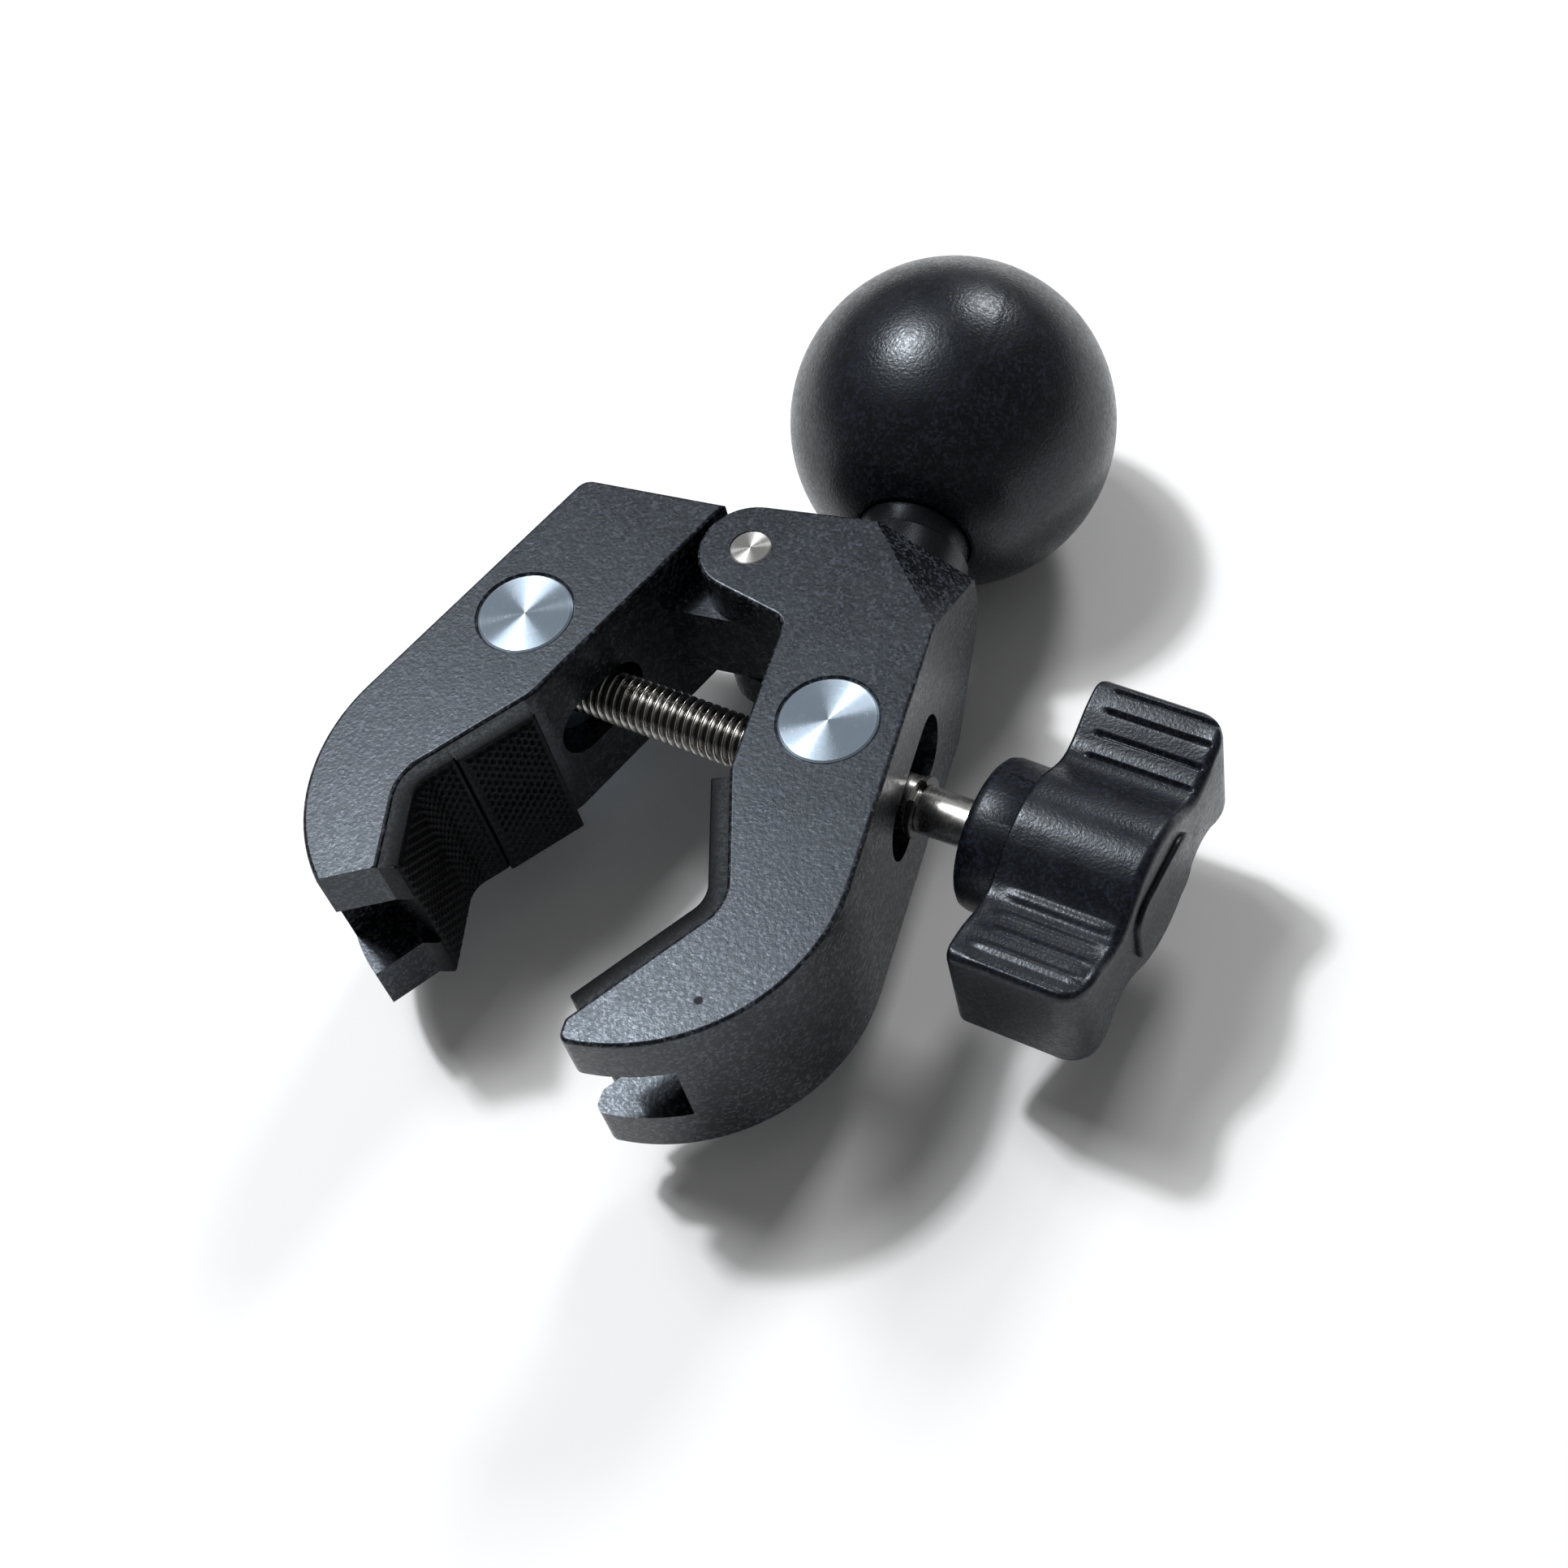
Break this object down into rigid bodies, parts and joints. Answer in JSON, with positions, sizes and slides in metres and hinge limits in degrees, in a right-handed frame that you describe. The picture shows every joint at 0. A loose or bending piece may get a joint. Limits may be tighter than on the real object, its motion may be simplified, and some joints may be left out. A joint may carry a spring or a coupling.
{
  "type": "jaw clamp with ball head",
  "caption": "Screw-operated two-jaw clamp with rubber pads, swivelling cross barrels, a wing knob and a ball head on a short stem.",
  "frame": {"origin": "centre of the ball head", "axes": "+Y along the stem away from the jaws, +X towards the knob, +Z square to the flat faces of the jaws, up as the clamp lies"},
  "size_m": [0.0922, 0.1107, 0.038],
  "materials": {
    "powder_coat": "black fine-textured powder coat",
    "turned_steel": "turned and zinc plated",
    "screw_steel": "rolled stainless thread, polished shank",
    "clip_steel": "spring steel",
    "knob_nylon": "black moulded nylon, satin",
    "insert_brass": "turned",
    "pad_rubber": "black rubber with a diamond pattern",
    "ball_rubber": "black composite with a fine texture",
    "neck_anodised": "black anodised aluminium, satin"
  },
  "bodies": {
    "frame": {"fixed_jaw": "powder_coat", "hinge_pin": "turned_steel", "fixed_jaw_pad": "pad_rubber", "ball_core": "neck_anodised", "ball_cover": "ball_rubber", "stem_lock_ring": "neck_anodised", "ball_stud": "clip_steel"},
    "moving_arm": {"moving_jaw": "powder_coat", "moving_jaw_inner_pad": "pad_rubber", "moving_jaw_tip_pad": "pad_rubber"},
    "trunnion": {"swivel_trunnion": "turned_steel"},
    "screw": {"clamp_screw": "screw_steel", "inner_retaining_clip": "clip_steel", "outer_retaining_clip": "clip_steel", "screw_end_clip": "clip_steel", "thrust_sleeve": "clip_steel", "knob_body": "knob_nylon", "knob_insert": "insert_brass", "knob_cap": "knob_nylon"},
    "nut": {"barrel_nut": "turned_steel"}
  },
  "joints": [
    {"name": "screw_turn", "type": "hinge", "parent": "trunnion", "child": "screw", "pos_m": [0.0013, -0.0507, 0], "axis": [-0.9774, 0.2113, 0], "range_deg": [-914.3, 2971.4]},
    {"name": "jaw_hinge", "type": "hinge", "parent": "frame", "child": "moving_arm", "pos_m": [-0.0136, -0.0301, 0], "axis": [0, 0, 1], "range_deg": [-8.01, 26.01]},
    {"name": "trunnion_swivel", "type": "hinge", "parent": "frame", "child": "trunnion", "pos_m": [0.0013, -0.0507, 0], "axis": [0, 0, 1], "range_deg": [-4.01, 13.01]},
    {"name": "nut_swivel", "type": "hinge", "parent": "moving_arm", "child": "nut", "pos_m": [-0.03568, -0.0427, 0], "axis": [0, 0, 1], "range_deg": [-13.01, 4.01]}
  ],
  "couplings": [
    {"joint": "jaw_hinge", "follows": "screw_turn", "ratio": 0.00875},
    {"joint": "trunnion_swivel", "follows": "screw_turn", "ratio": 0.004375},
    {"joint": "nut_swivel", "follows": "screw_turn", "ratio": -0.004375}
  ]
}
